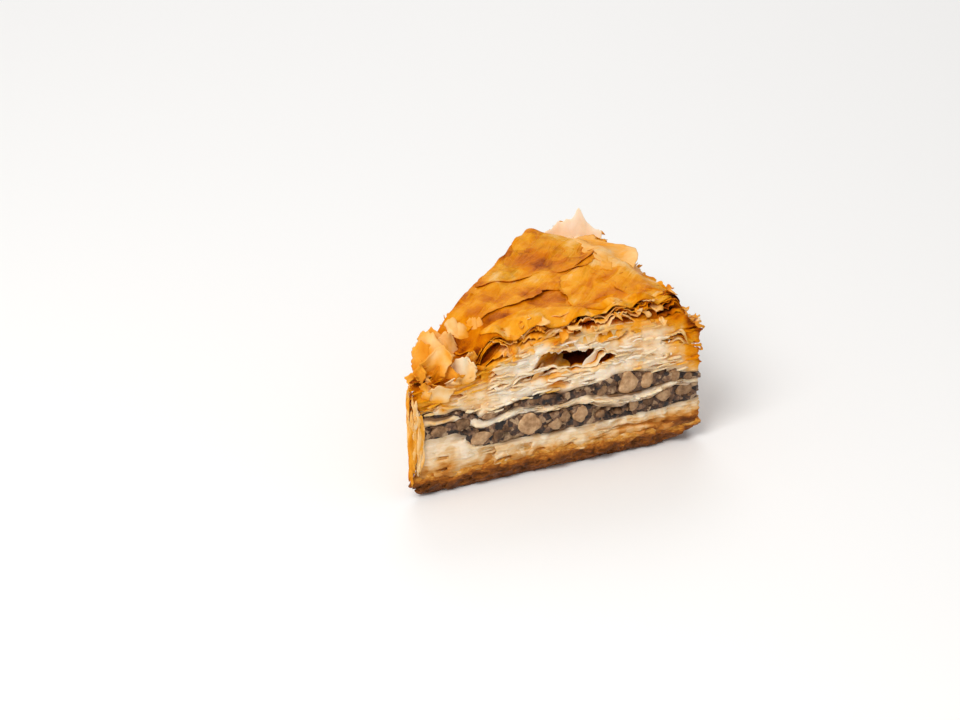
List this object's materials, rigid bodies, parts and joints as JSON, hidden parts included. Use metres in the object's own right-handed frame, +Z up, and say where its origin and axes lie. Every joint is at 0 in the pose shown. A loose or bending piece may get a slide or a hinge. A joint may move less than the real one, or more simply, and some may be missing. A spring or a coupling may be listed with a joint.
{
  "type": "baklava piece",
  "caption": "Triangular piece of baklava with layered flaky pastry, walnut layers and a golden, domed, torn-sheet top.",
  "frame": {"origin": "on the base, at the incentre of the triangular footprint, where the piece rests", "axes": "+Z up through the layers, +X along the front cut face towards the right-angled corner, +Y from the front cut face towards the back corner"},
  "size_m": [0.0738, 0.0692, 0.0382],
  "materials": {
    "base_pastry": "baked brown, syrup damp",
    "walnut": "chopped nut, rough",
    "pale_pastry": "soft, matt",
    "golden_pastry": "baked golden, syrup gloss"
  },
  "bodies": {
    "root": {"base_pastry": "base_pastry", "lower_walnut": "walnut", "middle_pastry": "pale_pastry", "upper_walnut": "walnut", "top_pastry": "golden_pastry"}
  },
  "joints": []
}
